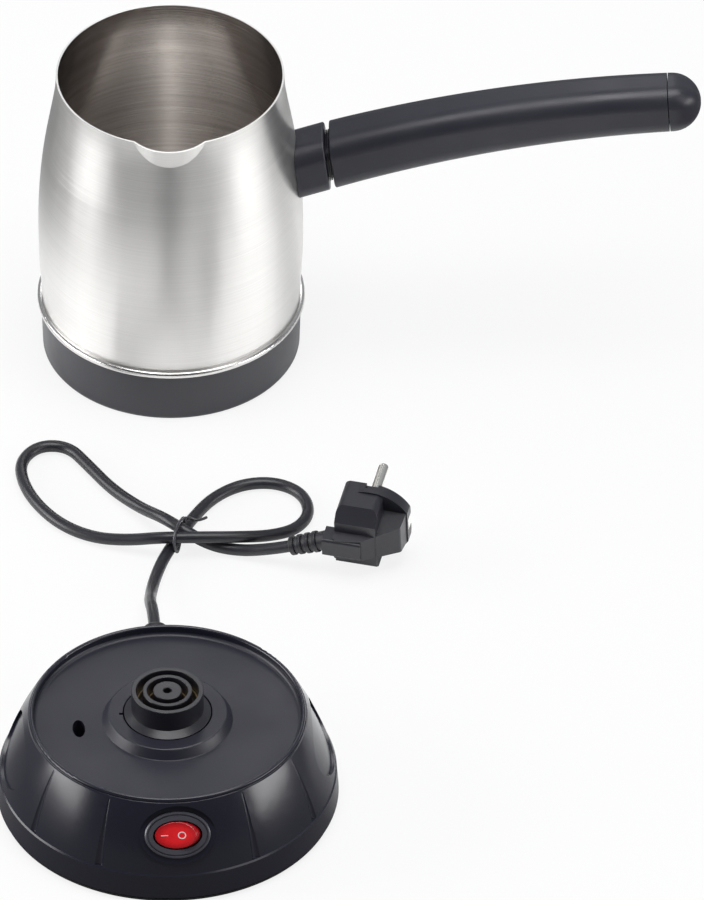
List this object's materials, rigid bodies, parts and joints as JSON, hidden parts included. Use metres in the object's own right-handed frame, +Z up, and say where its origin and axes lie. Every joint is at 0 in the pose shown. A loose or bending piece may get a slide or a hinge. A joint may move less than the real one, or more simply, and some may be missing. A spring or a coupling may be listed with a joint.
{
  "type": "electric turkish coffee maker",
  "caption": "Cordless steel coffee pot with side handle and pouring spout, beside a round powered base with a raised connector, rocker switch and mains cord with plug.",
  "frame": {"origin": "on the surface that the base and the pot stand on, at the base's axis", "axes": "+Z up; +Y from the base towards the pot that stands behind it, so the switch side is near -Y; +X towards the end of the pot's handle"},
  "size_m": [0.3017, 0.4408, 0.146],
  "materials": {
    "housing": "gloss",
    "matte_black": "satin",
    "foot_rubber": "matte",
    "steel": "satin",
    "nickel": "polished",
    "brass": "satin",
    "lamp_glass": "clear",
    "rocker_red": "gloss",
    "cord_black": "satin",
    "lead_brown": "satin",
    "lead_blue": "satin",
    "lead_green": "satin",
    "vessel_steel": "brushed",
    "plate_aluminium": "satin",
    "thermostat_plastic": "satin",
    "handle_black": "satin"
  },
  "bodies": {
    "root": {"base_housing": "housing", "base_cover": "matte_black", "base_foot_ring": "foot_rubber", "base_cover_screws": "steel", "connector_body": "housing", "connector_contacts": "brass", "connector_clamp": "steel", "connector_screws": "steel", "switch_frame": "housing", "switch_terminals": "brass", "switch_lamp": "lamp_glass", "cord_gland": "cord_black", "cord_tail": "cord_black", "cord_clamp": "matte_black", "cord_clamp_screws": "steel", "lead_live": "lead_brown", "lead_neutral": "lead_blue", "lead_earth": "lead_green", "lead_switched": "lead_brown", "mains_cord": "cord_black", "cord_tie": "cord_black", "plug_body": "cord_black", "plug_boot": "cord_black", "plug_pins": "nickel", "plug_earth_clips": "nickel"},
    "rocker": {"switch_rocker": "rocker_red"},
    "pot": {"pot_vessel": "vessel_steel", "hem_ring": "nickel", "cup_gasket": "foot_rubber", "pot_cup": "matte_black", "cup_standoffs": "steel", "cup_screws": "steel", "pot_socket": "matte_black", "socket_contacts": "brass", "socket_screws": "steel", "heater_plate": "plate_aluminium", "heating_element": "steel", "thermostat": "thermostat_plastic", "pot_lead_live": "lead_brown", "pot_lead_heater": "lead_brown", "pot_lead_neutral": "lead_blue", "handle_bracket": "steel", "handle_bolt": "steel", "handle_collar": "handle_black", "handle_core": "handle_black", "handle_grip": "handle_black", "grip_screw": "steel", "handle_cap": "handle_black"}
  },
  "joints": [
    {"name": "switch_rocker_hinge", "type": "hinge", "parent": "root", "child": "rocker", "pos_m": [0.00439, -0.06284, 0.03031], "axis": [-0.038, 0.5433, 0.8387], "range_deg": [0, 24]},
    {"name": "pot_lift", "type": "slide", "parent": "root", "child": "pot", "axis": [0, 0, 1], "range_m": [0, 0.15]}
  ]
}
